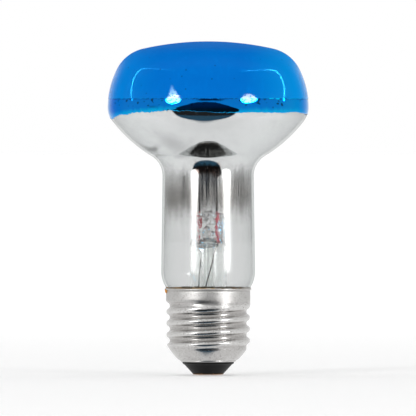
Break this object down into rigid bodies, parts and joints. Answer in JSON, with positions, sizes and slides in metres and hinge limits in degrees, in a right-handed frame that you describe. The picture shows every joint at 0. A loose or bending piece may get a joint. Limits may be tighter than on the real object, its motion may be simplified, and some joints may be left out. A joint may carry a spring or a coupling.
{
  "type": "reflector bulb",
  "caption": "Mushroom-shaped reflector bulb with a blue lacquered front, a mirrored bowl fading into a clear neck, and a metal screw cap with a black insulated contact.",
  "frame": {"origin": "tip of the centre contact, on the lamp's axis", "axes": "+Z along the axis from the contact to the front, -Y towards the viewer of the picture, +X to the viewer's right"},
  "size_m": [0.0632, 0.0632, 0.1049],
  "materials": {
    "clear_glass": "clear",
    "blue_lacquer": "gloss",
    "mirror_film": "polished",
    "cap_metal": "satin",
    "black_glass": "satin",
    "contact_metal": "dull",
    "solder": "dull",
    "cement": "matte",
    "stem_glass": "clear",
    "seal_copper": "dull",
    "lead_metal": "drawn",
    "filament_metal": "drawn"
  },
  "bodies": {
    "root": {"bulb_glass": "clear_glass", "blue_lacquer": "blue_lacquer", "mirror_film": "mirror_film", "screw_shell": "cap_metal", "insulator": "black_glass", "contact_plate": "contact_metal", "contact_solder": "solder", "side_solder": "solder", "cap_cement": "cement", "stem": "stem_glass", "exhaust_tube": "stem_glass", "support_rod": "stem_glass", "seal_wire_contact": "seal_copper", "seal_wire_side": "seal_copper", "inner_lead_contact": "lead_metal", "inner_lead_side": "lead_metal", "outer_lead_contact": "lead_metal", "outer_lead_side": "lead_metal", "filament": "filament_metal", "support_wire_1": "filament_metal", "support_wire_2": "filament_metal", "support_wire_3": "filament_metal"}
  },
  "joints": []
}
